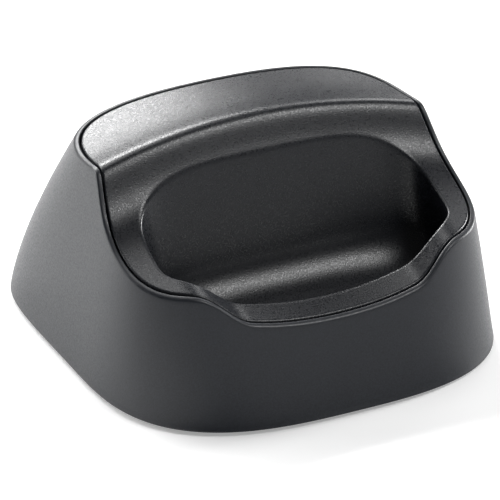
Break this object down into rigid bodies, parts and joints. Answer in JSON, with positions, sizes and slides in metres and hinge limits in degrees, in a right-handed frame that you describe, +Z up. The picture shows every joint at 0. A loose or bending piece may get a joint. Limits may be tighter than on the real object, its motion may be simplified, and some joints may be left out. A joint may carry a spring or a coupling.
{
  "type": "cordless handset charging cradle",
  "caption": "Low desktop charging cradle with a leaning handset pocket, sprung charging contacts and a low-voltage inlet in the back.",
  "frame": {"origin": "middle of the bounding box at the level of the table", "axes": "+Z up, -Y the front with the dipped lip, +X to the right seen from the front"},
  "size_m": [0.082, 0.087, 0.0452],
  "materials": {
    "housing_plastic": "satin moulded, anthracite",
    "panel_plastic": "finely grained, dark anthracite",
    "base_plastic": "fine grain, dark",
    "foot_rubber": "soft matt rubber",
    "case_screw_steel": "zinc plated",
    "fixing_steel": "zinc plated",
    "weight_steel": "sheared sheet",
    "board_laminate": "solder mask",
    "carrier_plastic": "natural nylon",
    "contact_gold": "gold plated",
    "spring_steel": "drawn wire",
    "terminal_brass": "pressed",
    "lead_black": "wire insulation",
    "lead_red": "wire insulation",
    "connector_plastic": "natural nylon",
    "socket_plastic": "moulded",
    "capacitor_sleeve": "shrink sleeve",
    "choke_ferrite": "sintered",
    "chip_resin": "moulded resin",
    "diode_resin": "moulded resin",
    "resistor_body": "glazed ceramic",
    "label_film": "blank printed film"
  },
  "bodies": {
    "cradle": {"housing": "housing_plastic", "cradle_panel": "panel_plastic", "base_plate": "base_plastic", "foot_front_left": "foot_rubber", "foot_front_right": "foot_rubber", "foot_rear_left": "foot_rubber", "foot_rear_right": "foot_rubber", "case_screw_front_left": "case_screw_steel", "case_screw_front_right": "case_screw_steel", "case_screw_rear_left": "case_screw_steel", "case_screw_rear_right": "case_screw_steel", "steel_weight": "weight_steel", "weight_screw_front": "fixing_steel", "weight_screw_rear": "fixing_steel", "circuit_board": "board_laminate", "board_screw_front_left": "fixing_steel", "board_screw_front_right": "fixing_steel", "board_screw_rear_left": "fixing_steel", "board_screw_rear_right": "fixing_steel", "contact_carrier": "carrier_plastic", "carrier_screw_left": "fixing_steel", "carrier_screw_right": "fixing_steel", "contact_spring_left": "spring_steel", "contact_spring_right": "spring_steel", "contact_terminal_left": "terminal_brass", "contact_terminal_right": "terminal_brass", "contact_lead_left": "lead_black", "contact_lead_right": "lead_red", "lead_connector": "connector_plastic", "inlet_socket": "socket_plastic", "inlet_centre_pin": "terminal_brass", "inlet_leaf_contact": "terminal_brass", "capacitor": "capacitor_sleeve", "choke": "choke_ferrite", "charge_chip": "chip_resin", "diode": "diode_resin", "resistor_left": "resistor_body", "resistor_right": "resistor_body", "rating_label": "label_film"},
    "pin_left": {"contact_pin_left": "contact_gold"},
    "pin_right": {"contact_pin_right": "contact_gold"}
  },
  "joints": [
    {"name": "contact_left_press", "type": "slide", "parent": "cradle", "child": "pin_left", "axis": [0, 0, -1], "range_m": [0, 0.0015], "stiffness_N_per_m": 300, "springref_m": -0.001, "deforming": ["contact_spring_left"]},
    {"name": "contact_right_press", "type": "slide", "parent": "cradle", "child": "pin_right", "axis": [0, 0, -1], "range_m": [0, 0.0015], "stiffness_N_per_m": 300, "springref_m": -0.001, "deforming": ["contact_spring_right"]}
  ]
}
